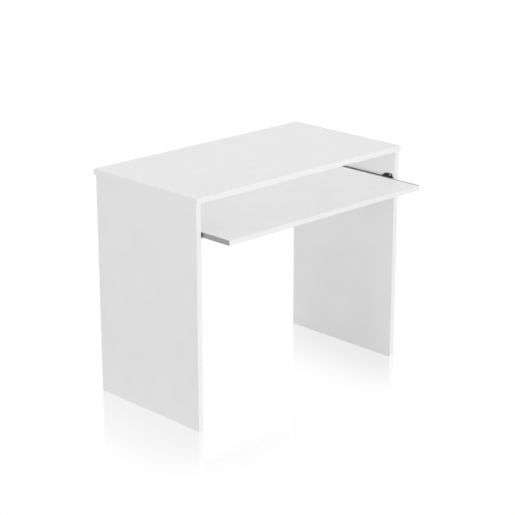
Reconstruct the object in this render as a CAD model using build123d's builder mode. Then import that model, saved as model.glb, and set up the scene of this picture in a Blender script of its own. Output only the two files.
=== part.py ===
from build123d import *
import os

# Computer desk with a keyboard tray that slides out on roller slides.
# Flat-pack construction: melamine-faced chipboard, plastic edge bands, cam locks and dowels.
# Frame: +X to the user's right, +Y to the back, +Z up. The origin is on the floor, at the centre
# of the whole desk's footprint with the tray pulled out to its stored position.

# ---- driving dimensions, mm ----
DESK_WIDTH = 900.0
DESK_DEPTH = 473.0
DESK_HEIGHT = 737.0
BOARD = 18.0                # top and side panels
THIN_BOARD = 15.0           # tray and back panel
BAND = 1.0                  # edge band thickness
BAND_ARRIS = 0.4            # rounding along the band's outer edges
SIDE_OVERHANG = 1.5         # top past the side panels
FRONT_OVERHANG = 5.0
REAR_OVERHANG = 10.0
BACK_PANEL_HEIGHT = 300.0

KEYBOARD_SPACE = 92.0       # clear height between tray and top
TRAY_DEPTH = 350.0
TRAY_OUT = 105.0            # tray's front edge in front of the top's, as stored
TRAVEL_IN = 110.0           # from there to fully closed
TRAVEL_OUT = 140.0          # from there to fully open
SLIDE_SPACE = 10.0          # from the tray's side to the side panel

# Roller slides: a cabinet rail on the side panel, a tray rail on the tray's side edge.
STEEL = 1.2                 # rail sheet thickness
BEND = 0.5                  # inner bend radius of the folded rails
CABINET_RAIL_LENGTH = 350.0
CABINET_RAIL_SETBACK = 1.0  # rail's front end behind the panel's front edge
CABINET_RAIL_RISE = 3.0     # rail's top above the tray's top
CABINET_FLANGE = 5.4        # overall width of each flange, web included
TRAY_FLANGE = 4.0
TRAY_RAIL_RISE = 1.2        # rail's top above the tray's top
FRONT_STOP_HALF_HEIGHT = 3.0
STOP_PLAY = 0.3             # left between the rear roller and the stop at each end

# Rollers and their axle rivets.
ROLLER_PLAY = 0.2           # between a roller and the flanges above and below it
ROLLER_WIDTH = 3.0
ROLLER_CHAMFER = 0.3
ROLLER_GAP = 0.5            # between a roller and the web of the rail it runs in
FRONT_ROLLER_SETBACK = 8.5  # roller axis behind the panel's front edge
RECESS_RADIUS = 3.2         # recess in the roller's side that the rivet's head lies in
RECESS_DEPTH = 1.0
AXLE_RADIUS = 2.0
AXLE_PLAY = 0.05
SHOULDER_RADIUS = 3.2
SHOULDER_PLAY = 0.15        # between the roller's side and the rivet's shoulder
RIVET_HEAD_RADIUS = 2.9
RIVET_HEAD_HEIGHT = 0.7
RIVET_HEAD_PLAY = 0.1

# Mounting ear at the cabinet rail's front end, standing above the tray.
EAR_HEIGHT = 15.0           # above the tray's top
EAR_FRONT = 12.4            # top front corner, behind the panel's front edge
EAR_TOP_END = 38.0
EAR_FOOT = 56.0
EAR_LEAN_START = -8.5       # height, from the tray's top, where the front edge starts to lean back
EAR_FRONT_RADIUS = 2.5
EAR_REAR_RADIUS = 18.0
EAR_SCREW = (18.0, 9.5)     # behind the panel's front edge, above the tray's top

# Screws.
SCREW_RADIUS = 1.75
SCREW_LENGTH = 15.0
SCREW_POINT = 3.0
SCREW_TIP_RADIUS = 0.3
SCREW_HEAD_RADIUS = 3.0
COUNTERSINK_ANGLE = 90
PAN_HEAD_RADIUS = 3.2
PAN_HEAD_HEIGHT = 1.8
PAN_HEAD_ROUNDING = 1.0
CROSS_SPAN = 3.4            # cross recess in the screws' heads
CROSS_DEPTH = 0.9
RAIL_SCREWS = (37.0, 165.0, 293.0)      # behind the panel's front edge
TRAY_SCREWS = (131.0, 211.0, 291.0)     # behind the tray's front edge

# Cam locks, their bolts and caps, and dowels.
FIT = 0.05                  # radial play of screws, bolts and dowels in their holes
END_ROOM = 0.5              # left past the end of each screw, bolt and dowel
CAM_END_ROOM = 1.0          # left under each cam lock, so that the bolt's bore ends above its hole's floor
CAM_RADIUS = 7.5
CAM_HEIGHT = 12.5
CAM_DISTANCE = 34.0         # cam's axis from the joint's face
CAM_CAVITY_RADIUS = 3.2     # hollow that holds the bolt's head
CAM_SLOT_RADIUS = 2.2       # way in for the bolt's neck
CAM_CENTRE_RADIUS = 1.7     # middle of the screwdriver recess
CAM_CROSS_SPAN = 7.0
CAM_CROSS_DEPTH = 2.5
BOLT_RADIUS = 2.5
BOLT_THREAD = 11.0          # depth screwed into the other board
BOLT_BORE = 4.0             # bore that the bolt's shank runs in, radius
BOLT_COLLAR_RADIUS = 3.8
BOLT_COLLAR_HEIGHT = 2.0
BOLT_SHANK_RADIUS = 2.9
BOLT_NECK_RADIUS = 1.8
BOLT_NECK_BEFORE = 8.0      # neck starts this far before the cam's axis
BOLT_HEAD_RADIUS = 2.8
BOLT_HEAD_BEFORE = 2.5
BOLT_HEAD_PAST = 1.5
CAM_FROM_FRONT = 95.0
CAM_FROM_REAR = 60.0
BACK_CAM_HEIGHTS = (45.0, 255.0)        # above the back panel's lower edge
CAP_RADIUS = 8.75
CAP_THICKNESS = 0.9
CAP_ROUNDING = 0.5
CAP_STEM_RADIUS = 1.5
CAP_STEM_LENGTH = 2.0
DOWEL_RADIUS = 4.0
DOWEL_LENGTH = 28.0
DOWEL_IN_FACE = 12.0        # part of the dowel that sits in the board's face
DOWEL_CHAMFER = 1.0
DOWEL_PITCH = 32.0          # dowel beside its cam lock

# ---- places worked out from them ----
top_front_y = (TRAY_OUT - DESK_DEPTH) / 2
top_rear_y = (TRAY_OUT + DESK_DEPTH) / 2
top_underside_z = DESK_HEIGHT - BOARD
panel_front_y = top_front_y + FRONT_OVERHANG
panel_rear_y = top_rear_y - REAR_OVERHANG
panel_outer_x = DESK_WIDTH / 2 - SIDE_OVERHANG
panel_inner_x = panel_outer_x - BOARD
panel_middle_x = (panel_inner_x + panel_outer_x) / 2

tray_half_width = panel_inner_x - SLIDE_SPACE
tray_front_y = top_front_y - TRAY_OUT
tray_rear_y = tray_front_y + TRAY_DEPTH
tray_top_z = top_underside_z - KEYBOARD_SPACE
tray_bottom_z = tray_top_z - THIN_BOARD

back_front_y = panel_rear_y - THIN_BOARD
back_middle_y = (back_front_y + panel_rear_y) / 2
back_bottom_z = top_underside_z - BACK_PANEL_HEIGHT

cabinet_web_x = panel_inner_x - STEEL
cabinet_open_x = panel_inner_x - CABINET_FLANGE
cabinet_rail_front_y = panel_front_y + CABINET_RAIL_SETBACK
cabinet_rail_rear_y = cabinet_rail_front_y + CABINET_RAIL_LENGTH
cabinet_rail_top_z = tray_top_z + CABINET_RAIL_RISE
cabinet_rail_middle_z = (cabinet_rail_top_z + tray_bottom_z) / 2
tray_web_x = tray_half_width + STEEL
tray_rail_z_span = (tray_bottom_z + TRAY_RAIL_RISE, tray_top_z + TRAY_RAIL_RISE)
tray_rail_middle_z = sum(tray_rail_z_span) / 2

front_roller_radius = (tray_top_z - tray_bottom_z) / 2 - STEEL - ROLLER_PLAY
front_roller_y = panel_front_y + FRONT_ROLLER_SETBACK
front_roller_inner_x = tray_web_x + ROLLER_GAP
rear_roller_radius = (cabinet_rail_top_z - tray_bottom_z) / 2 - STEEL - ROLLER_PLAY
rear_roller_y = cabinet_rail_rear_y - STEEL - STOP_PLAY - rear_roller_radius - TRAVEL_IN
front_stop_y = rear_roller_y - TRAVEL_OUT - rear_roller_radius - STOP_PLAY

cam_ys = (panel_front_y + CAM_FROM_FRONT, panel_rear_y - CAM_FROM_REAR)
cam_z = top_underside_z - CAM_DISTANCE
dowel_ys = (cam_ys[0] + DOWEL_PITCH, cam_ys[1] - DOWEL_PITCH)
back_cam_x = panel_inner_x - CAM_DISTANCE
back_cam_zs = [back_bottom_z + height for height in BACK_CAM_HEIGHTS]
back_dowel_zs = (back_cam_zs[0] + DOWEL_PITCH, back_cam_zs[1] - DOWEL_PITCH)

RIGHT = (1, 0, 0)
LEFT = (-1, 0, 0)
FRONT = (0, -1, 0)
BACK = (0, 1, 0)
UP = (0, 0, 1)
DOWN = (0, 0, -1)


def facing(direction, points, x_dir=None):
    """One plane at each point, with its normal pointing out of the mouth of the hole drilled there."""
    return [Plane(origin=point, x_dir=x_dir, z_dir=direction) for point in points]


def opposite(planes):
    """The same places on the board that meets this one face to face."""
    return [Plane(origin=plane.origin, z_dir=-plane.z_dir) for plane in planes]


def on_both_sides(planes):
    """These places on the desk's right-hand side, and the matching ones on its left."""
    def across(vector):
        return (-vector.X, vector.Y, vector.Z)

    return planes + [
        Plane(origin=across(plane.origin), x_dir=across(plane.x_dir), z_dir=across(plane.z_dir))
        for plane in planes
    ]


# Places of the holes on the right-hand side. Local x at a cam lock points to the bolt it draws in.
cam_places = facing(LEFT, [(panel_inner_x, y, cam_z) for y in cam_ys], x_dir=UP)
top_bolt_places = facing(DOWN, [(panel_middle_x, y, top_underside_z) for y in cam_ys])
top_dowel_places = facing(DOWN, [(panel_middle_x, y, top_underside_z) for y in dowel_ys])
back_cam_places = facing(BACK, [(back_cam_x, panel_rear_y, z) for z in back_cam_zs], x_dir=RIGHT)
back_bolt_places = facing(LEFT, [(panel_inner_x, back_middle_y, z) for z in back_cam_zs])
back_dowel_places = facing(LEFT, [(panel_inner_x, back_middle_y, z) for z in back_dowel_zs])
rail_screw_places = facing(
    LEFT, [(cabinet_web_x, panel_front_y + y, cabinet_rail_middle_z) for y in RAIL_SCREWS])
ear_screw_places = facing(
    LEFT, [(cabinet_web_x, panel_front_y + EAR_SCREW[0], tray_top_z + EAR_SCREW[1])])
tray_screw_places = facing(
    RIGHT, [(tray_web_x, tray_front_y + y, tray_rail_middle_z) for y in TRAY_SCREWS])
front_axle_places = facing(LEFT, [(cabinet_web_x, front_roller_y, tray_rail_middle_z)])
rear_axle_places = facing(RIGHT, [(tray_web_x, rear_roller_y, cabinet_rail_middle_z)])

screw_hole_radius = SCREW_RADIUS + FIT
bolt_hole_radius = BOLT_RADIUS + FIT
bolt_hole_depth = BOLT_THREAD + END_ROOM
dowel_hole_radius = DOWEL_RADIUS + FIT
dowel_face_depth = DOWEL_IN_FACE + END_ROOM
dowel_edge_depth = DOWEL_LENGTH - DOWEL_IN_FACE + END_ROOM
cam_hole_radius = CAM_RADIUS + FIT
cam_hole_depth = CAM_HEIGHT + CAM_END_ROOM

os.makedirs("parts", exist_ok=True)


def save(piece, label):
    piece.part.label = label
    export_step(piece.part, f"parts/{label}.step")


def save_pair(right_piece, label):
    """Writes the right-hand piece as built, and its mirror image for the left-hand side."""
    save(right_piece, f"right_{label}")
    with BuildPart() as left_piece:
        mirror(right_piece.part, about=Plane.YZ)
    save(left_piece, f"left_{label}")


def copies(piece, places):
    """The same small piece set at several places, as one group of separate solids."""
    with BuildPart() as group:
        with Locations(*places):
            add(piece.part)
    return group


def turned(*outline):
    """A piece turned about Z from its half outline, given as (radius, height) points."""
    with BuildPart() as piece:
        with BuildSketch(Plane.XZ):
            with BuildLine():
                Polyline(*outline, close=True)
            make_face()
        revolve(axis=Axis.Z)
    return piece


def edge_band(x_span, y_span, z_span, outward):
    """A strip of edging between the given limits, with the edges of its outer face rounded."""
    with BuildPart() as band:
        with BuildSketch(Plane.XY.offset(z_span[0])):
            with Locations((sum(x_span) / 2, sum(y_span) / 2)):
                Rectangle(x_span[1] - x_span[0], y_span[1] - y_span[0])
        extrude(amount=z_span[1] - z_span[0])
        outer_face = band.faces().sort_by(Axis((0, 0, 0), outward))[-1]
        fillet(outer_face.edges(), BAND_ARRIS)
    return band


def front_and_rear_bands(name, x_span, y_span, z_span):
    """The bands on a board's front and rear edges; y_span is the finished board's depth."""
    front, rear = y_span
    save(edge_band(x_span, (front, front + BAND), z_span, FRONT), f"{name}_front_edge_band")
    save(edge_band(x_span, (rear - BAND, rear), z_span, BACK), f"{name}_rear_edge_band")


def end_bands(half_width, y_span, z_span):
    """The bands on a board's right and left ends, between its front and rear bands."""
    x_span = (half_width - BAND, half_width)
    right_band = edge_band(x_span, (y_span[0] + BAND, y_span[1] - BAND), z_span, RIGHT)
    with BuildPart() as bands:
        add(right_band.part)
        mirror(about=Plane.YZ)
    return bands


# ---- top ----
with BuildPart() as top_board:
    with BuildSketch(Plane.XY.offset(top_underside_z)):
        with Locations((0, (top_front_y + top_rear_y) / 2)):
            Rectangle(DESK_WIDTH - 2 * BAND, DESK_DEPTH - 2 * BAND)
    extrude(amount=BOARD)
    with Locations(*on_both_sides(top_bolt_places)):
        Hole(bolt_hole_radius, bolt_hole_depth)
    with Locations(*on_both_sides(top_dowel_places)):
        Hole(dowel_hole_radius, dowel_face_depth)
save(top_board, "top_board")

top_y_span = (top_front_y, top_rear_y)
top_z_span = (top_underside_z, DESK_HEIGHT)
front_and_rear_bands("top", (-DESK_WIDTH / 2, DESK_WIDTH / 2), top_y_span, top_z_span)
save(end_bands(DESK_WIDTH / 2, top_y_span, top_z_span), "top_end_edge_bands")

# ---- side panels: cam locks, back panel and cabinet rail go on the inner face ----
with BuildPart() as side_panel:
    with BuildSketch(Plane.XY.offset(BAND)):
        with Locations((panel_middle_x, (panel_front_y + panel_rear_y) / 2)):
            Rectangle(BOARD, panel_rear_y - panel_front_y - 2 * BAND)
    extrude(amount=top_underside_z - BAND)
    with Locations(*cam_places):
        Hole(cam_hole_radius, cam_hole_depth)
    with Locations(*opposite(top_bolt_places)):
        Hole(BOLT_BORE, CAM_DISTANCE)
    with Locations(*opposite(top_dowel_places)):
        Hole(dowel_hole_radius, dowel_edge_depth)
    with Locations(*back_bolt_places):
        Hole(bolt_hole_radius, bolt_hole_depth)
    with Locations(*back_dowel_places):
        Hole(dowel_hole_radius, dowel_face_depth)
    with Locations(*rail_screw_places, *ear_screw_places):
        Hole(screw_hole_radius, SCREW_LENGTH + END_ROOM)
save_pair(side_panel, "side_panel")

panel_x_span = (panel_inner_x, panel_outer_x)
panel_z_span = (0, top_underside_z)
front_span = (panel_front_y, panel_front_y + BAND)
rear_span = (panel_rear_y - BAND, panel_rear_y)
bottom_span = (front_span[1], rear_span[0])
save_pair(edge_band(panel_x_span, front_span, panel_z_span, FRONT), "side_panel_front_edge_band")
save_pair(edge_band(panel_x_span, rear_span, panel_z_span, BACK), "side_panel_rear_edge_band")
save_pair(edge_band(panel_x_span, bottom_span, (0, BAND), DOWN), "side_panel_bottom_edge_band")

# ---- back panel, between the side panels ----
with BuildPart() as back_panel:
    with BuildSketch(Plane.XY.offset(back_bottom_z + BAND)):
        with Locations((0, back_middle_y)):
            Rectangle(2 * panel_inner_x, THIN_BOARD)
    extrude(amount=BACK_PANEL_HEIGHT - BAND)
    with Locations(*on_both_sides(back_cam_places)):
        Hole(cam_hole_radius, cam_hole_depth)
    with Locations(*on_both_sides(opposite(back_bolt_places))):
        Hole(BOLT_BORE, CAM_DISTANCE)
    with Locations(*on_both_sides(opposite(back_dowel_places))):
        Hole(dowel_hole_radius, dowel_edge_depth)
save(back_panel, "back_panel")

back_band_x_span = (-panel_inner_x, panel_inner_x)
back_band_y_span = (back_front_y, panel_rear_y)
back_band_z_span = (back_bottom_z, back_bottom_z + BAND)
save(edge_band(back_band_x_span, back_band_y_span, back_band_z_span, DOWN), "back_panel_edge_band")


# ---- knock-down fittings ----
def screwdriver_tip(span, depth, face_z=0):
    """The cross that a screwdriver's tip fills in a head whose face is at face_z."""
    with BuildPart() as tip:
        with BuildSketch(Plane.XY.offset(face_z)):
            Rectangle(span, span / 4)
            Rectangle(span / 4, span)
        extrude(amount=-depth)
    return tip.part


def cam_lock(bolt_depth):
    """A cam lock with its face at z = 0, for a bolt that comes in along x at bolt_depth below it."""
    with BuildPart() as cam:
        with BuildSketch(Plane.XY):
            Circle(CAM_RADIUS)
        extrude(amount=-CAM_HEIGHT)
        with BuildSketch(Plane.YZ.offset(-CAM_CAVITY_RADIUS)):
            with Locations((0, -bolt_depth)):
                Circle(CAM_CAVITY_RADIUS)
        extrude(amount=2 * CAM_CAVITY_RADIUS, mode=Mode.SUBTRACT)
        with BuildSketch(Plane.YZ):
            with Locations((0, -bolt_depth)):
                Circle(CAM_SLOT_RADIUS)
        extrude(amount=CAM_RADIUS, mode=Mode.SUBTRACT)
        with BuildSketch(Plane.XY):
            Circle(CAM_CENTRE_RADIUS)
        extrude(amount=-CAM_CROSS_DEPTH, mode=Mode.SUBTRACT)
        add(screwdriver_tip(CAM_CROSS_SPAN, CAM_CROSS_DEPTH), mode=Mode.SUBTRACT)
    return cam


# Bolt and dowel: the joint is at z = 0, the part below it is in the board that the joint's face is on.
cam_bolt = turned(
    (0, -BOLT_THREAD), (SCREW_RADIUS, -BOLT_THREAD),
    (BOLT_RADIUS, SCREW_RADIUS - BOLT_THREAD), (BOLT_RADIUS, 0),
    (BOLT_COLLAR_RADIUS, 0), (BOLT_COLLAR_RADIUS, BOLT_COLLAR_HEIGHT),
    (BOLT_SHANK_RADIUS, BOLT_COLLAR_HEIGHT), (BOLT_SHANK_RADIUS, CAM_DISTANCE - BOLT_NECK_BEFORE),
    (BOLT_NECK_RADIUS, CAM_DISTANCE - BOLT_NECK_BEFORE), (BOLT_NECK_RADIUS, CAM_DISTANCE - BOLT_HEAD_BEFORE),
    (BOLT_HEAD_RADIUS, CAM_DISTANCE - BOLT_HEAD_BEFORE), (BOLT_HEAD_RADIUS, CAM_DISTANCE + BOLT_HEAD_PAST),
    (0, CAM_DISTANCE + BOLT_HEAD_PAST),
)
dowel_top = DOWEL_LENGTH - DOWEL_IN_FACE
dowel = turned(
    (0, -DOWEL_IN_FACE), (DOWEL_RADIUS - DOWEL_CHAMFER, -DOWEL_IN_FACE),
    (DOWEL_RADIUS, DOWEL_CHAMFER - DOWEL_IN_FACE), (DOWEL_RADIUS, dowel_top - DOWEL_CHAMFER),
    (DOWEL_RADIUS - DOWEL_CHAMFER, dowel_top), (0, dowel_top),
)
with BuildPart() as cam_cap:
    with BuildSketch(Plane.XY):
        Circle(CAP_RADIUS)
    extrude(amount=CAP_THICKNESS)
    fillet(cam_cap.faces().sort_by(Axis.Z)[-1].edges(), CAP_ROUNDING)
    with BuildSketch(Plane.XY):
        Circle(CAP_STEM_RADIUS)
    extrude(amount=-CAP_STEM_LENGTH)

save_pair(copies(cam_lock(BOARD / 2), cam_places), "panel_cam_locks")
save_pair(copies(cam_cap, cam_places), "panel_cam_caps")
save_pair(copies(cam_bolt, top_bolt_places), "top_cam_bolts")
save_pair(copies(dowel, top_dowel_places), "top_dowels")
save(copies(cam_lock(THIN_BOARD / 2), on_both_sides(back_cam_places)), "back_panel_cam_locks")
save(copies(cam_cap, on_both_sides(back_cam_places)), "back_panel_cam_caps")
save(copies(cam_bolt, on_both_sides(back_bolt_places)), "back_panel_cam_bolts")
save(copies(dowel, on_both_sides(back_dowel_places)), "back_panel_dowels")

# ---- tray ----
with BuildPart() as tray_board:
    with BuildSketch(Plane.XY.offset(tray_bottom_z)):
        with Locations((0, (tray_front_y + tray_rear_y) / 2)):
            Rectangle(2 * (tray_half_width - BAND), TRAY_DEPTH - 2 * BAND)
    extrude(amount=THIN_BOARD)
    with Locations(*on_both_sides(tray_screw_places)):
        Hole(screw_hole_radius, SCREW_LENGTH + END_ROOM)
save(tray_board, "tray_board")

tray_y_span = (tray_front_y, tray_rear_y)
tray_z_span = (tray_bottom_z, tray_top_z)
front_and_rear_bands("tray", (-tray_half_width, tray_half_width), tray_y_span, tray_z_span)
with BuildPart() as tray_end_bands:
    add(end_bands(tray_half_width, tray_y_span, tray_z_span).part)
    with Locations(*on_both_sides(tray_screw_places)):
        Hole(screw_hole_radius, SCREW_LENGTH)
save(tray_end_bands, "tray_end_edge_bands")


# ---- roller slides ----
def rail_section(web_x, open_x, z_span):
    """Draws the C section of a folded rail, its web's outer face at web_x and its lips at open_x."""
    middle_z = sum(z_span) / 2
    height = z_span[1] - z_span[0]
    width = abs(open_x - web_x)
    hollow_shift = STEEL / 2 if open_x > web_x else -STEEL / 2
    with Locations(((web_x + open_x) / 2, middle_z)):
        Rectangle(width, height)
    with Locations(((web_x + open_x) / 2 + hollow_shift, middle_z)):
        Rectangle(width - STEEL, height - 2 * STEEL, mode=Mode.SUBTRACT)


# Cabinet rail: open towards the tray, with the mounting ear and a stop for the roller at each end.
lean_start = (cabinet_rail_front_y, tray_top_z + EAR_LEAN_START)
ear_front_corner = (panel_front_y + EAR_FRONT, tray_top_z + EAR_HEIGHT)
ear_rear_corner = (panel_front_y + EAR_TOP_END, tray_top_z + EAR_HEIGHT)
rear_stop_half_height = (cabinet_rail_top_z - tray_bottom_z) / 2 - STEEL
stops = (
    (cabinet_rail_rear_y, rear_stop_half_height),
    (front_stop_y, FRONT_STOP_HALF_HEIGHT),
)
with BuildPart() as cabinet_rail:
    with BuildSketch(Plane.XZ.offset(-cabinet_rail_rear_y)) as cabinet_section:
        rail_section(panel_inner_x, cabinet_open_x, (tray_bottom_z, cabinet_rail_top_z))
        fillet(cabinet_section.vertices().group_by(Axis.X)[-1], STEEL + BEND)
        fillet(cabinet_section.vertices().filter_by_position(Axis.X, cabinet_web_x, cabinet_web_x), BEND)
    extrude(amount=CABINET_RAIL_LENGTH)
    with BuildSketch(Plane.YZ.offset(cabinet_open_x)):
        with BuildLine():
            Polyline(lean_start, ear_front_corner, (lean_start[0], ear_front_corner[1]), close=True)
        make_face()
    extrude(amount=CABINET_FLANGE, mode=Mode.SUBTRACT)
    with BuildSketch(Plane.YZ.offset(cabinet_web_x)) as ear:
        with BuildLine():
            Polyline(
                lean_start, ear_front_corner, ear_rear_corner,
                (panel_front_y + EAR_FOOT, cabinet_rail_top_z - STEEL),
                (panel_front_y + EAR_FOOT, lean_start[1]),
                close=True)
        make_face()
        fillet(ear.vertices().sort_by_distance(ear_front_corner)[0], EAR_FRONT_RADIUS)
        fillet(ear.vertices().sort_by_distance(ear_rear_corner)[0], EAR_REAR_RADIUS)
    extrude(amount=STEEL)
    for stop_y, half_height in stops:
        with BuildSketch(Plane.XZ.offset(-stop_y)):
            with Locations(((cabinet_open_x + cabinet_web_x) / 2, cabinet_rail_middle_z)):
                Rectangle(CABINET_FLANGE - STEEL, 2 * half_height)
        extrude(amount=STEEL)
    with Locations(*rail_screw_places):
        CounterSinkHole(screw_hole_radius, SCREW_HEAD_RADIUS + FIT, STEEL, COUNTERSINK_ANGLE)
    with Locations(*ear_screw_places):
        Hole(screw_hole_radius, STEEL)
    with Locations(*front_axle_places):
        Hole(AXLE_RADIUS, STEEL)
save_pair(cabinet_rail, "cabinet_rail")

# Tray rail: its web lies on the tray's end edge, and it is open towards the side panel.
with BuildPart() as tray_rail:
    with BuildSketch(Plane.XZ.offset(-tray_rear_y)) as tray_section:
        rail_section(tray_half_width, tray_half_width + TRAY_FLANGE, tray_rail_z_span)
        fillet(tray_section.vertices().group_by(Axis.X)[0], STEEL + BEND)
        fillet(tray_section.vertices().filter_by_position(Axis.X, tray_web_x, tray_web_x), BEND)
    extrude(amount=TRAY_DEPTH)
    with Locations(*tray_screw_places):
        CounterSinkHole(screw_hole_radius, SCREW_HEAD_RADIUS + FIT, STEEL, COUNTERSINK_ANGLE)
    with Locations(*rear_axle_places):
        Hole(AXLE_RADIUS, STEEL)
save_pair(tray_rail, "tray_rail")


def roller(radius, near_side):
    """A roller on its axle's line, its plain side near_side above the web's face at z = 0."""
    far_side = near_side + ROLLER_WIDTH
    bore = AXLE_RADIUS + AXLE_PLAY
    return turned(
        (bore, near_side), (radius - ROLLER_CHAMFER, near_side), (radius, near_side + ROLLER_CHAMFER),
        (radius, far_side - ROLLER_CHAMFER), (radius - ROLLER_CHAMFER, far_side),
        (RECESS_RADIUS, far_side), (RECESS_RADIUS, far_side - RECESS_DEPTH),
        (bore, far_side - RECESS_DEPTH),
    )


# The front roller hangs on the cabinet rail and runs inside the tray rail; the rear roller the other
# way about. Both stand equally far from the web that carries them, so all four rivets are alike.
roller_reach = cabinet_web_x - front_roller_inner_x - ROLLER_WIDTH
shoulder_end = roller_reach - SHOULDER_PLAY
rivet_head_start = roller_reach + ROLLER_WIDTH - RECESS_DEPTH + RIVET_HEAD_PLAY
rivet_end = rivet_head_start + RIVET_HEAD_HEIGHT
axle_rivet = turned(
    (0, -STEEL), (AXLE_RADIUS, -STEEL), (AXLE_RADIUS, 0),
    (SHOULDER_RADIUS, 0), (SHOULDER_RADIUS, shoulder_end), (AXLE_RADIUS, shoulder_end),
    (AXLE_RADIUS, rivet_head_start), (RIVET_HEAD_RADIUS, rivet_head_start),
    (RIVET_HEAD_RADIUS, rivet_end), (0, rivet_end),
)
save_pair(copies(axle_rivet, front_axle_places), "front_roller_rivet")
save_pair(copies(axle_rivet, rear_axle_places), "rear_roller_rivet")
save_pair(copies(roller(front_roller_radius, roller_reach), front_axle_places), "front_roller")
save_pair(copies(roller(rear_roller_radius, roller_reach), rear_axle_places), "rear_roller")


# ---- screws: the head's top is at z = 0 on the flat screws, its seat on the pan-head screw ----
def screw(head_outline):
    return turned(
        *head_outline, (SCREW_RADIUS, SCREW_POINT - SCREW_LENGTH),
        (SCREW_TIP_RADIUS, -SCREW_LENGTH), (0, -SCREW_LENGTH))


flat_screw = screw([(0, 0), (SCREW_HEAD_RADIUS, 0), (SCREW_RADIUS, SCREW_RADIUS - SCREW_HEAD_RADIUS)])
with BuildPart() as flat_head_screw:
    add(flat_screw.part)
    add(screwdriver_tip(CROSS_SPAN, CROSS_DEPTH), mode=Mode.SUBTRACT)
save_pair(copies(flat_head_screw, rail_screw_places), "cabinet_rail_screws")
save_pair(copies(flat_head_screw, tray_screw_places), "tray_rail_screws")

pan_screw = screw([
    (0, PAN_HEAD_HEIGHT), (PAN_HEAD_RADIUS - PAN_HEAD_ROUNDING, PAN_HEAD_HEIGHT),
    (PAN_HEAD_RADIUS, PAN_HEAD_HEIGHT - PAN_HEAD_ROUNDING), (PAN_HEAD_RADIUS, 0), (SCREW_RADIUS, 0)])
with BuildPart() as pan_head_screw:
    add(pan_screw.part)
    add(screwdriver_tip(CROSS_SPAN, CROSS_DEPTH, PAN_HEAD_HEIGHT), mode=Mode.SUBTRACT)
save_pair(copies(pan_head_screw, ear_screw_places), "rail_ear_screw")
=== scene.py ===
import math

import bpy
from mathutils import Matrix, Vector


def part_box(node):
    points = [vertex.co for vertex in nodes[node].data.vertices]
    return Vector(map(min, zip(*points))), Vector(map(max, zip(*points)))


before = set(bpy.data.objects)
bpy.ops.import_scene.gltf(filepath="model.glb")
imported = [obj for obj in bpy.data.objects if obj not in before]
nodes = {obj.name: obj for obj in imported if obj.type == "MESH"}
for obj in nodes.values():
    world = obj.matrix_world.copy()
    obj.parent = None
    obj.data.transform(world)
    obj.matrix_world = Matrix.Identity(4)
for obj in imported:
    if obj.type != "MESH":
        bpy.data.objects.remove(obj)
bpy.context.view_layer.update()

# Looks of a white flat-pack computer desk: melamine-faced boards with plastic edge bands, and a
# keyboard tray on a pair of coated-steel roller slides. Units are metres, in the frame's own axes.

MM = 0.001
SKIN_DEPTH = 0.3 * MM       # the melamine paper with its resin, on each face of a board
GLUE_LINE = 0.3 * MM        # drawn width of the glue line beside an edge band
HALFWAY = 0.5               # where a ramp's new stop waits until it gets its own place


# ---------------------------------------------------------------- material tools
def linear(hex_colour):
    """An sRGB hex colour as the linear colour that the shaders take."""
    channels = [int(hex_colour[i:i + 2], 16) / 255 for i in (1, 3, 5)]
    return [c / 12.92 if c <= 0.04045 else ((c + 0.055) / 1.055) ** 2.4 for c in channels] + [1.0]


def add_node(tree, kind, settings=None, stops=(), **inputs):
    """Adds a shader node. settings are its own options, and stops are a ramp's, each (place from 0 to 1,
    hex colour). An input is a value or another node's socket; i0 is the first, where names repeat."""
    made = tree.nodes.new(kind)
    for option, value in (settings or {}).items():
        setattr(made, option, value)
    while stops and len(made.color_ramp.elements) < len(stops):
        made.color_ramp.elements.new(HALFWAY)
    for number, (place, colour) in enumerate(stops):
        made.color_ramp.elements[number].position = place
        made.color_ramp.elements[number].color = linear(colour)
    for label, value in inputs.items():
        numbered = label[0] == "i" and label[1:].isdigit()
        socket = made.inputs[int(label[1:]) if numbered else label.replace("_", " ")]
        if isinstance(value, bpy.types.NodeSocket):
            tree.links.new(value, socket)
        else:
            socket.default_value = value
    return made


def surface(name, **inputs):
    """A new material with a Principled surface; returns the material, its node tree and that node."""
    made = bpy.data.materials.new(name)
    made.use_nodes = True
    tree = made.node_tree
    tree.nodes.clear()
    shader = add_node(tree, "ShaderNodeBsdfPrincipled", **inputs)
    add_node(tree, "ShaderNodeOutputMaterial", Surface=shader.outputs["BSDF"])
    return made, tree, shader


def piece_coordinates(tree):
    """Coordinates that stay on the piece as it moves, in metres."""
    return add_node(tree, "ShaderNodeTexCoord").outputs["Object"]


def grains_per_metre(size_mm):
    """The noise scale that makes one grain as large as size_mm."""
    return 1 / (size_mm * MM)


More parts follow.
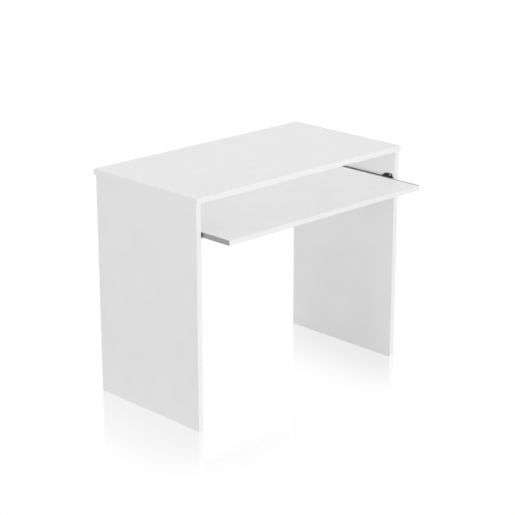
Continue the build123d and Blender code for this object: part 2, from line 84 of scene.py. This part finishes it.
# ---------------------------------------------------------------- materials
def melamine_chipboard(board, axis):
    """Chipboard pressed between two sheets of white melamine paper. The faces are a satin white with a
    fine pearl texture; the cut edges and the drilled holes show the chips, and a thin glue line shows
    where the edge band starts. axis is the board's thickness, 0 to 2."""
    low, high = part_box(board)
    made, tree, shader = surface(f"pressed_melamine_chipboard_{board}", IOR=1.52)
    where = piece_coordinates(tree)

    # The pearl embossing is about 0.6 mm from bump to bump; the mottle is how evenly the paper took up
    # the resin, a hand's width across.
    pearl = add_node(tree, "ShaderNodeTexNoise", Vector=where, Scale=grains_per_metre(0.6), Detail=3.0)
    mottle = add_node(tree, "ShaderNodeTexNoise", Vector=where, Scale=grains_per_metre(80), Detail=2.0)
    paper = add_node(
        tree, "ShaderNodeValToRGB", stops=((0.35, "#E6E6E6"), (0.65, "#E8E8E8")), Fac=mottle.outputs["Fac"])

    # Chips are 1 to 4 mm flakes of light softwood, with darker bark and dark gaps between them.
    chips = add_node(tree, "ShaderNodeTexVoronoi", Vector=where, Scale=grains_per_metre(2.4), Randomness=1.0)
    chip_tone = add_node(tree, "ShaderNodeSeparateColor", Color=chips.outputs["Color"])
    chip_colour = add_node(
        tree, "ShaderNodeValToRGB",
        stops=((0.0, "#8A6A42"), (0.25, "#B08D5E"), (0.6, "#CDAE7E"), (0.9, "#DCC49B")),
        Fac=chip_tone.outputs["Red"])
    gaps = add_node(
        tree, "ShaderNodeValToRGB", stops=((0.45, "#FFFFFF"), (0.75, "#6B5236")),
        Fac=chips.outputs["Distance"])
    core = add_node(
        tree, "ShaderNodeMix", {"data_type": "RGBA", "blend_type": "MULTIPLY"},
        i0=1.0, i6=chip_colour.outputs["Color"], i7=gaps.outputs["Color"])

    # How far a place is inside the board's box, along each of its three directions.
    middle = [(near + far) / 2 for near, far in zip(low, high)]
    half = [(far - near) / 2 for near, far in zip(low, high)]
    from_middle = add_node(tree, "ShaderNodeVectorMath", {"operation": "SUBTRACT"}, i0=where, i1=middle)
    off_middle = add_node(
        tree, "ShaderNodeVectorMath", {"operation": "ABSOLUTE"}, i0=from_middle.outputs["Vector"])
    depth = add_node(
        tree, "ShaderNodeVectorMath", {"operation": "SUBTRACT"}, i0=half, i1=off_middle.outputs["Vector"])
    inside = add_node(tree, "ShaderNodeSeparateXYZ", Vector=depth.outputs["Vector"]).outputs

    # The melamine paper and its resin are a skin about 0.3 mm deep on both faces.
    skin = add_node(
        tree, "ShaderNodeMath", {"operation": "LESS_THAN"}, i0=inside[axis], i1=SKIN_DEPTH).outputs[0]
    # The hot-melt glue line under the edge band is 0.1 mm wide; it is drawn 0.3 mm wide to be seen.
    across, lengthwise = (inside[along] for along in range(3) if along != axis)
    to_edge = add_node(tree, "ShaderNodeMath", {"operation": "MINIMUM"}, i0=across, i1=lengthwise)
    glue_line = add_node(
        tree, "ShaderNodeMath", {"operation": "LESS_THAN"}, i0=to_edge.outputs[0], i1=GLUE_LINE)
    edged_paper = add_node(
        tree, "ShaderNodeMix", {"data_type": "RGBA"},
        i0=glue_line.outputs[0], i6=paper.outputs["Color"], i7=linear("#C9C6BF"))

    colour = add_node(
        tree, "ShaderNodeMix", {"data_type": "RGBA"}, i0=skin,
        i6=core.outputs[2], i7=edged_paper.outputs[2])
    roughness = add_node(
        tree, "ShaderNodeMapRange", Value=skin, From_Min=0.0, From_Max=1.0, To_Min=0.85, To_Max=0.46)
    relief = add_node(
        tree, "ShaderNodeMix", {"data_type": "FLOAT"},
        i0=skin, i2=chips.outputs["Distance"], i3=pearl.outputs["Fac"])
    tree.links.new(colour.outputs[2], shader.inputs["Base Color"])
    tree.links.new(roughness.outputs["Result"], shader.inputs["Roughness"])
    bump = add_node(tree, "ShaderNodeBump", Height=relief.outputs[0], Strength=0.5, Distance=0.02 * MM)
    tree.links.new(bump.outputs["Normal"], shader.inputs["Normal"])
    return made


def abs_edge_band(name, along):
    """ABS edging, extruded and then scraped flush: a slightly brighter, glossier white than the
    board's face, with faint lines along its length from the scraper. along is the length, 0 to 2."""
    made, tree, shader = surface(name, IOR=1.53, Roughness=0.38)
    where = piece_coordinates(tree)
    # Scraper lines are about 0.4 mm apart and run on for about 150 mm.
    stretch = [grains_per_metre(0.4)] * 3
    stretch[along] = grains_per_metre(150)
    drawn_out = add_node(tree, "ShaderNodeMapping", Vector=where, Scale=stretch)
    lines = add_node(tree, "ShaderNodeTexNoise", Vector=drawn_out.outputs[0], Scale=1.0, Detail=2.0)
    tone = add_node(
        tree, "ShaderNodeValToRGB", stops=((0.3, "#E6E6E6"), (0.7, "#E9E9E9")),
        Fac=lines.outputs["Fac"])
    tree.links.new(tone.outputs["Color"], shader.inputs["Base Color"])
    bump = add_node(
        tree, "ShaderNodeBump", Height=lines.outputs["Fac"], Strength=0.4, Distance=0.01 * MM)
    tree.links.new(bump.outputs["Normal"], shader.inputs["Normal"])
    return made


def coated_steel(name, low_colour, high_colour, roughness):
    """Sheet steel with a baked powder coat: an even colour under a soft gloss that the coat's
    orange-peel surface breaks up."""
    made, tree, shader = surface(name, IOR=1.5, Roughness=roughness)
    where = piece_coordinates(tree)
    # Orange peel is about 1.2 mm from crest to crest.
    peel = add_node(tree, "ShaderNodeTexNoise", Vector=where, Scale=grains_per_metre(1.2), Detail=1.0)
    speckle = add_node(tree, "ShaderNodeTexNoise", Vector=where, Scale=grains_per_metre(0.3), Detail=4.0)
    tone = add_node(
        tree, "ShaderNodeValToRGB", stops=((0.35, low_colour), (0.65, high_colour)),
        Fac=speckle.outputs["Fac"])
    tree.links.new(tone.outputs["Color"], shader.inputs["Base Color"])
    bump = add_node(
        tree, "ShaderNodeBump", Height=peel.outputs["Fac"], Strength=0.6, Distance=0.03 * MM)
    tree.links.new(bump.outputs["Normal"], shader.inputs["Normal"])
    return made


def plated_steel(name):
    """Cold-headed steel with bright zinc plate: a cool light metal, a little cloudy from the bath."""
    made, tree, shader = surface(name, Metallic=1.0)
    where = piece_coordinates(tree)
    # The plate clouds over in patches a few millimetres across.
    cloud = add_node(tree, "ShaderNodeTexNoise", Vector=where, Scale=grains_per_metre(2.5), Detail=3.0)
    tone = add_node(
        tree, "ShaderNodeValToRGB", stops=((0.3, "#C3C6CB"), (0.7, "#D6D8DB")),
        Fac=cloud.outputs["Fac"])
    gloss = add_node(tree, "ShaderNodeMapRange", Value=cloud.outputs["Fac"], To_Min=0.22, To_Max=0.38)
    tree.links.new(tone.outputs["Color"], shader.inputs["Base Color"])
    tree.links.new(gloss.outputs["Result"], shader.inputs["Roughness"])
    return made


def cast_zinc(name):
    """Pressure die-cast zinc alloy, left as cast: a dull blue-grey metal with a fine sandy skin."""
    made, tree, shader = surface(name, Metallic=1.0, Roughness=0.5)
    where = piece_coordinates(tree)
    # The die's surface leaves a grain of about 0.25 mm.
    grain = add_node(tree, "ShaderNodeTexNoise", Vector=where, Scale=grains_per_metre(0.25), Detail=4.0)
    tone = add_node(
        tree, "ShaderNodeValToRGB", stops=((0.3, "#9A9DA2"), (0.7, "#B4B6BA")),
        Fac=grain.outputs["Fac"])
    tree.links.new(tone.outputs["Color"], shader.inputs["Base Color"])
    bump = add_node(
        tree, "ShaderNodeBump", Height=grain.outputs["Fac"], Strength=0.8, Distance=0.02 * MM)
    tree.links.new(bump.outputs["Normal"], shader.inputs["Normal"])
    return made


def moulded_plastic(name, low_colour, high_colour, roughness, grain_mm):
    """Injection-moulded plastic with a spark-eroded mould's fine, even matt grain."""
    made, tree, shader = surface(name, IOR=1.5, Roughness=roughness)
    where = piece_coordinates(tree)
    grain = add_node(tree, "ShaderNodeTexNoise", Vector=where, Scale=grains_per_metre(grain_mm), Detail=3.0)
    tone = add_node(
        tree, "ShaderNodeValToRGB", stops=((0.35, low_colour), (0.65, high_colour)),
        Fac=grain.outputs["Fac"])
    tree.links.new(tone.outputs["Color"], shader.inputs["Base Color"])
    bump = add_node(
        tree, "ShaderNodeBump", Height=grain.outputs["Fac"], Strength=0.6, Distance=0.01 * MM)
    tree.links.new(bump.outputs["Normal"], shader.inputs["Normal"])
    return made


def sanded_beech(name, along):
    """Beech dowel rod, sanded and unfinished: pale pinkish brown with short darker flecks along the
    grain. along is the grain's direction, 0 to 2."""
    made, tree, shader = surface(name, IOR=1.5, Roughness=0.7)
    where = piece_coordinates(tree)
    # Beech flecks are about 0.5 mm wide and 3 mm long.
    stretch = [grains_per_metre(0.5)] * 3
    stretch[along] = grains_per_metre(3)
    drawn_out = add_node(tree, "ShaderNodeMapping", Vector=where, Scale=stretch)
    flecks = add_node(tree, "ShaderNodeTexNoise", Vector=drawn_out.outputs[0], Scale=1.0, Detail=2.0)
    tone = add_node(
        tree, "ShaderNodeValToRGB", stops=((0.35, "#9C7650"), (0.45, "#C69D73"), (0.7, "#D3AE86")),
        Fac=flecks.outputs["Fac"])
    tree.links.new(tone.outputs["Color"], shader.inputs["Base Color"])
    bump = add_node(
        tree, "ShaderNodeBump", Height=flecks.outputs["Fac"], Strength=0.5, Distance=0.03 * MM)
    tree.links.new(bump.outputs["Normal"], shader.inputs["Normal"])
    return made


# ---------------------------------------------------------------- materials on the frame's pieces
def finish_with(material, *names):
    """Gives a frame piece its material, in place of the plain colour that it came with."""
    for name in names:
        mesh = nodes[name].data
        mesh.materials.clear()
        mesh.materials.append(material)


def sides(name):
    """The names of a piece's left and right copies."""
    return f"left_{name}", f"right_{name}"


for board, axis in (
    ("top_board", 2), ("left_side_panel", 0), ("right_side_panel", 0), ("back_panel", 1), ("tray_board", 2),
):
    finish_with(melamine_chipboard(board, axis), board)

band_along_x = abs_edge_band("scraped_abs_edging_crosswise", 0)
band_along_y = abs_edge_band("scraped_abs_edging_front_to_back", 1)
band_along_z = abs_edge_band("scraped_abs_edging_upright", 2)
finish_with(
    band_along_x, "top_front_edge_band", "top_rear_edge_band", "tray_front_edge_band",
    "tray_rear_edge_band", "back_panel_edge_band")
finish_with(band_along_y, "top_end_edge_bands", "tray_end_edge_bands", *sides("side_panel_bottom_edge_band"))
finish_with(
    band_along_z, *sides("side_panel_front_edge_band"), *sides("side_panel_rear_edge_band"))

# The axle rivets are staked before the rails are coated, so each has its rail's colour.
finish_with(
    coated_steel("powder_coated_steel_dark", "#28282A", "#2F2F31", 0.45),
    *sides("cabinet_rail"), *sides("front_roller_rivet"))
finish_with(
    coated_steel("powder_coated_steel_grey", "#9E9E9E", "#A4A4A4", 0.42),
    *sides("tray_rail"), *sides("rear_roller_rivet"))
finish_with(
    moulded_plastic("moulded_nylon_dark", "#1B1B1C", "#222223", 0.5, 0.4),
    *sides("front_roller"), *sides("rear_roller"))
finish_with(
    plated_steel("zinc_plated_steel"), *sides("rail_ear_screw"), *sides("cabinet_rail_screws"),
    *sides("tray_rail_screws"), *sides("top_cam_bolts"), "back_panel_cam_bolts")
finish_with(cast_zinc("die_cast_zinc"), *sides("panel_cam_locks"), "back_panel_cam_locks")
finish_with(
    moulded_plastic("moulded_polypropylene_white", "#E4E4E4", "#E8E8E8", 0.42, 0.4),
    *sides("panel_cam_caps"), "back_panel_cam_caps")
finish_with(sanded_beech("sanded_beech_upright", 2), *sides("top_dowels"))
finish_with(sanded_beech("sanded_beech_crosswise", 0), "back_panel_dowels")


# ---------------------------------------------------------------- floor, light and camera
FLOOR_SIZE = 60.0           # so wide that its edges are lost against the surround
BACKDROP_WHITE = 1.0        # what the camera and the reflections see of the surround and the floor
SURROUND_FILL = 0.45        # the soft light that the surround itself casts
FLOOR_POLISH = 0.45         # how much of what the floor shows beside the panels is a mirror image
POLISH_REACH = 0.36         # how far from the panels the polish fades out
FLOOR_FILL = 0.36           # the light that the floor throws up under the boards
LIGHT_SPREAD = math.radians(15)
CAMERA_PLACE = (-3.4435, -3.4803, 2.0191)
CAMERA_TURN = math.radians(-44.5)
CAMERA_TILT = math.radians(18.17)       # down from level
LENS_MM = 111.9
SENSOR_MM = 36.0


def seen_or_cast(tree, seen, cast):
    """A strength that is seen by the camera and in reflections, and another that lights the pieces."""
    rays = add_node(tree, "ShaderNodeLightPath")
    return add_node(
        tree, "ShaderNodeMapRange", Value=rays.outputs["Is Diffuse Ray"],
        To_Min=seen, To_Max=cast).outputs["Result"]


def distance_to_panels(tree):
    """How far a place on the floor is from the nearer side panel's foot."""
    low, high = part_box("right_side_panel")
    middle_x, middle_y = (low[0] + high[0]) / 2, (low[1] + high[1]) / 2
    half_x, half_y = (high[0] - low[0]) / 2, (high[1] - low[1]) / 2
    # The two panels mirror each other, so the first fold brings the left one onto the right one.
    steps = (
        ("SUBTRACT", (0, middle_y, 0)), ("ABSOLUTE", (0, 0, 0)), ("SUBTRACT", (middle_x, 0, 0)),
        ("ABSOLUTE", (0, 0, 0)), ("SUBTRACT", (half_x, half_y, 0)), ("MAXIMUM", (0, 0, 0)))
    place = piece_coordinates(tree)
    for operation, amount in steps:
        place = add_node(
            tree, "ShaderNodeVectorMath", {"operation": operation}, i0=place, i1=amount).outputs["Vector"]
    return add_node(tree, "ShaderNodeVectorMath", {"operation": "LENGTH"}, i0=place).outputs["Value"]


def lit_white_acrylic():
    """White acrylic, lit from below, and polished where the desk stands, so that it mirrors the feet
    faintly."""
    made = bpy.data.materials.new("polished_lit_white_acrylic")
    made.use_nodes = True
    tree = made.node_tree
    tree.nodes.clear()
    glow = add_node(
        tree, "ShaderNodeEmission", Color=linear("#FFFFFF"),
        Strength=seen_or_cast(tree, BACKDROP_WHITE, FLOOR_FILL))
    mirror = add_node(tree, "ShaderNodeBsdfGlossy", Color=linear("#FFFFFF"), Roughness=0.10)
    polish = add_node(
        tree, "ShaderNodeMapRange", {"interpolation_type": "SMOOTHSTEP"},
        Value=distance_to_panels(tree), From_Min=0.0, From_Max=POLISH_REACH,
        To_Min=FLOOR_POLISH, To_Max=0.0)
    mixed = add_node(
        tree, "ShaderNodeMixShader", Fac=polish.outputs["Result"],
        i1=glow.outputs[0], i2=mirror.outputs[0])
    add_node(tree, "ShaderNodeOutputMaterial", Surface=mixed.outputs[0])
    return made


def floor():
    """The plain white floor that the desk stands on."""
    mesh = bpy.data.meshes.new("floor")
    half = FLOOR_SIZE / 2
    corners = [(-half, -half, 0), (half, -half, 0), (half, half, 0), (-half, half, 0)]
    mesh.from_pydata(corners, [], [(0, 1, 2, 3)])
    made = bpy.data.objects.new("floor", mesh)
    bpy.context.scene.collection.objects.link(made)
    mesh.materials.append(lit_white_acrylic())


def surround():
    """A plain white surround that casts a weak, even light."""
    world = bpy.data.worlds.new("studio")
    bpy.context.scene.world = world
    world.use_nodes = True
    tree = world.node_tree
    tree.nodes.clear()
    light = add_node(
        tree, "ShaderNodeBackground", Color=linear("#FFFFFF"),
        Strength=seen_or_cast(tree, BACKDROP_WHITE, SURROUND_FILL))
    add_node(tree, "ShaderNodeOutputWorld", Surface=light.outputs[0])


def side_light(name, towards, strength, shadows=False):
    """Soft studio light from one side. Without shadows it is light that wraps all round the desk."""
    lamp = bpy.data.lights.new(name, "SUN")
    lamp.energy = strength * math.pi
    lamp.angle = LIGHT_SPREAD
    lamp.use_shadow = shadows
    made = bpy.data.objects.new(name, lamp)
    made.rotation_mode = "QUATERNION"
    made.rotation_quaternion = Vector(towards).to_track_quat("-Z", "Y")
    made.visible_glossy = False     # only the surround shows in reflections
    bpy.context.scene.collection.objects.link(made)


def camera():
    """Stands in front of the desk to its left, looking down on it with a long lens."""
    lens = bpy.data.cameras.new("camera")
    lens.sensor_width = SENSOR_MM
    lens.lens = LENS_MM
    made = bpy.data.objects.new("camera", lens)
    made.location = CAMERA_PLACE
    made.rotation_euler = (math.pi / 2 - CAMERA_TILT, 0, CAMERA_TURN)
    bpy.context.scene.collection.objects.link(made)
    bpy.context.scene.camera = made


floor()
surround()
side_light("front_left_light", (0.29, 0.58, -0.46), 0.80)
side_light("left_light", (1.0, 0.0, -0.05), 0.16, shadows=True)
side_light("right_light", (-1.0, 0.0, -0.05), 0.36, shadows=True)
side_light("back_light", (0.0, -1.0, -0.05), 0.30, shadows=True)
side_light("inside_light", (-0.40, -0.90, -0.05), 0.10)
camera()
bpy.context.scene.view_settings.view_transform = "Standard"
